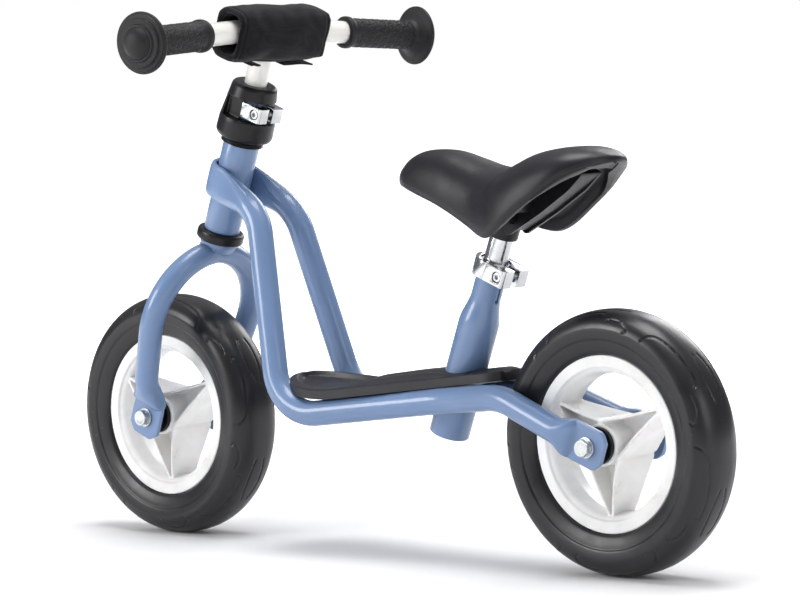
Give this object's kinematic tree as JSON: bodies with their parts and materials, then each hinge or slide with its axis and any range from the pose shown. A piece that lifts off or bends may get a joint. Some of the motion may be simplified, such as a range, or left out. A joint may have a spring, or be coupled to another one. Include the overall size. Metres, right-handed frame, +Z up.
{
  "type": "balance bike",
  "caption": "Child's balance bike with a bent-tube step-through frame, footboard, spoked wheels with foam tyres, height-adjustable saddle and padded handlebar.",
  "frame": {"origin": "on the ground, midway between the two axles, in the bike's mid-plane", "axes": "+Z up, -X forward (direction of travel), +Y the rider's right"},
  "size_m": [0.725, 0.365, 0.4719],
  "materials": {
    "frame_paint": "powder coat, satin gloss",
    "bar_paint": "powder coat, satin",
    "chrome": "polished",
    "zinc_steel": "zinc plated, satin",
    "rim_plastic": "semi-gloss moulded",
    "black_plastic": "moulded, semi-gloss",
    "footboard_plastic": "fine grain moulded",
    "saddle_plastic": "fine grain moulded",
    "grip_rubber": "matte",
    "tyre_foam": "closed-cell foam, matte",
    "pad_fabric": "padded woven nylon"
  },
  "bodies": {
    "frame": {"head_tube": "frame_paint", "frame_tube_left": "frame_paint", "frame_tube_right": "frame_paint", "seat_tube": "frame_paint", "seat_clamp": "chrome", "seat_clamp_screw": "chrome", "seat_clamp_nut": "chrome", "footboard": "footboard_plastic", "footboard_bracket": "frame_paint", "footboard_screw_left": "zinc_steel", "footboard_screw_right": "zinc_steel", "lower_headset_bush": "black_plastic", "upper_headset_bush": "black_plastic", "rear_axle_sleeve": "zinc_steel", "rear_spacer_left": "black_plastic", "rear_spacer_right": "black_plastic", "rear_washer_left": "zinc_steel", "rear_washer_right": "zinc_steel", "rear_bolt_left": "zinc_steel", "rear_bolt_right": "zinc_steel"},
    "fork": {"fork_tube": "frame_paint", "steerer_tube": "frame_paint", "head_cover": "black_plastic", "stem_clamp": "chrome", "stem_clamp_screw": "chrome", "stem_clamp_nut": "chrome", "front_axle_sleeve": "zinc_steel", "front_spacer_left": "black_plastic", "front_spacer_right": "black_plastic", "front_washer_left": "zinc_steel", "front_washer_right": "zinc_steel", "front_bolt_left": "zinc_steel", "front_bolt_right": "zinc_steel"},
    "handlebar": {"stem": "bar_paint", "crossbar": "bar_paint", "grip_left": "grip_rubber", "grip_right": "grip_rubber", "bar_pad": "pad_fabric"},
    "front_wheel": {"front_rim": "rim_plastic", "front_tyre": "tyre_foam", "front_bush_left": "black_plastic", "front_bush_right": "black_plastic"},
    "rear_wheel": {"rear_rim": "rim_plastic", "rear_tyre": "tyre_foam", "rear_bush_left": "black_plastic", "rear_bush_right": "black_plastic"},
    "saddle": {"seat_post": "chrome", "saddle_shell": "saddle_plastic", "saddle_base": "saddle_plastic", "saddle_screw": "zinc_steel"}
  },
  "joints": [
    {"name": "steering", "type": "hinge", "parent": "frame", "child": "fork", "pos_m": [-0.255, 0, 0.1075], "axis": [0.3584, 0, 0.9336], "range_deg": [-90, 90]},
    {"name": "handlebar_height", "type": "slide", "parent": "fork", "child": "handlebar", "axis": [0.3584, 0, 0.9336], "range_m": [-0.015, 0.06]},
    {"name": "front_wheel_spin", "type": "hinge", "parent": "fork", "child": "front_wheel", "pos_m": [-0.255, 0, 0.1075], "axis": [0, 1, 0], "continuous": true},
    {"name": "rear_wheel_spin", "type": "hinge", "parent": "frame", "child": "rear_wheel", "pos_m": [0.255, 0, 0.1075], "axis": [0, 1, 0], "continuous": true},
    {"name": "saddle_height", "type": "slide", "parent": "frame", "child": "saddle", "axis": [0.3691, 0, 0.9294], "range_m": [-0.02, 0.078]}
  ]
}
